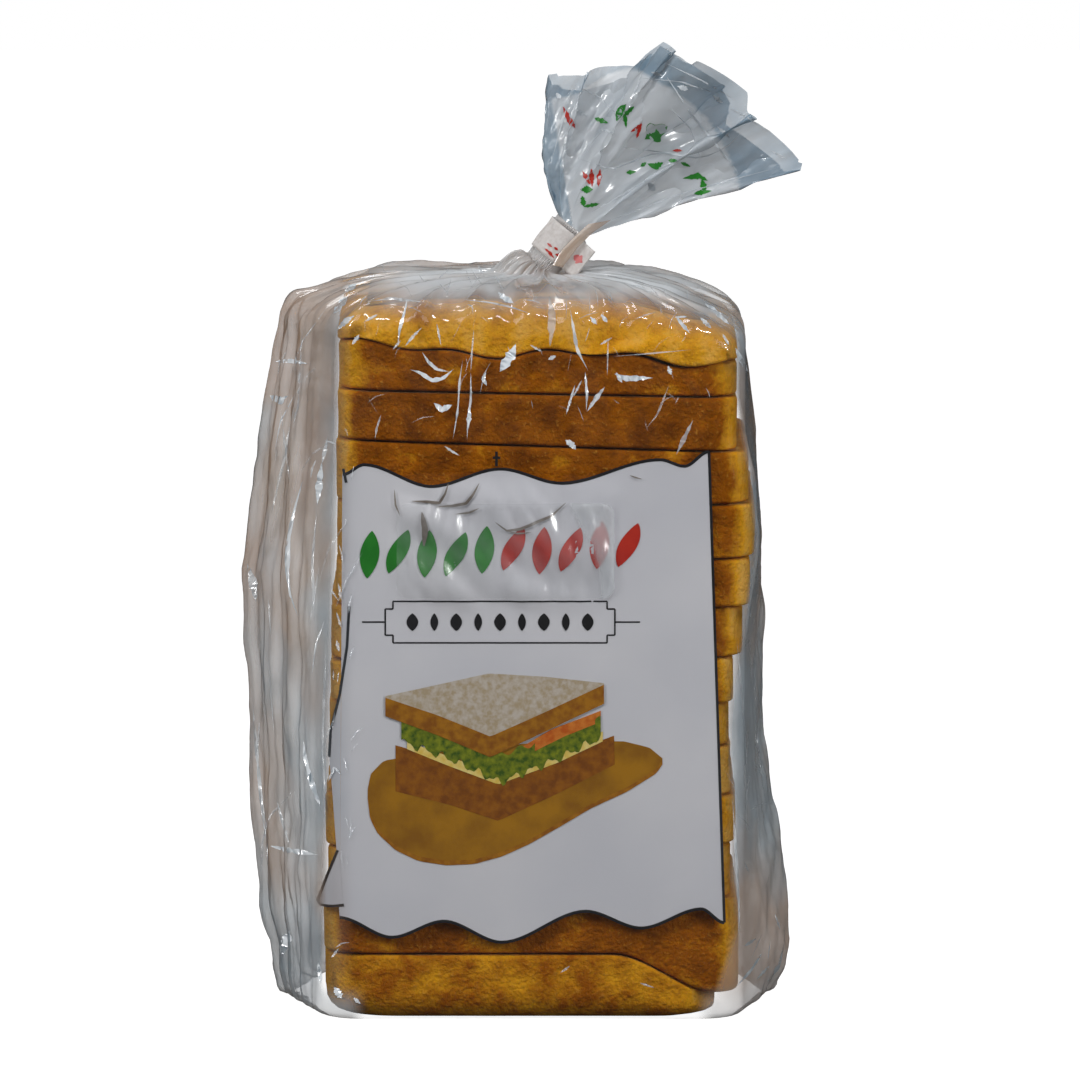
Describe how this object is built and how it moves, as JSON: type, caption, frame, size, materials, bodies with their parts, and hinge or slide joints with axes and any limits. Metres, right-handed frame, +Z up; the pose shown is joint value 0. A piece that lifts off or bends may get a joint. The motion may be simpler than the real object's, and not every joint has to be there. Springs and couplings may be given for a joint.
{
  "type": "sliced loaf in bread bag",
  "caption": "Sliced sandwich loaf standing on end in a clear printed bread bag, its neck gathered and taped, with a fanned tail of film above and loose film folds at the sides",
  "frame": {"origin": "middle of the loaf's footprint on the flat base that the pack stands on", "axes": "+Z up along the loaf, the printed front faces -Y, +X to the right of the front"},
  "size_m": [0.145, 0.1027, 0.25],
  "materials": {
    "bag_film": "thin clear glossy film, creased, with white and printed fields",
    "paper_tape": "matt white tape with red marks",
    "label_film": "clear glossy self-adhesive film"
  },
  "bodies": {
    "root": {"bag": "bag_film", "neck_tape": "paper_tape", "clear_label": "label_film"}
  },
  "joints": []
}
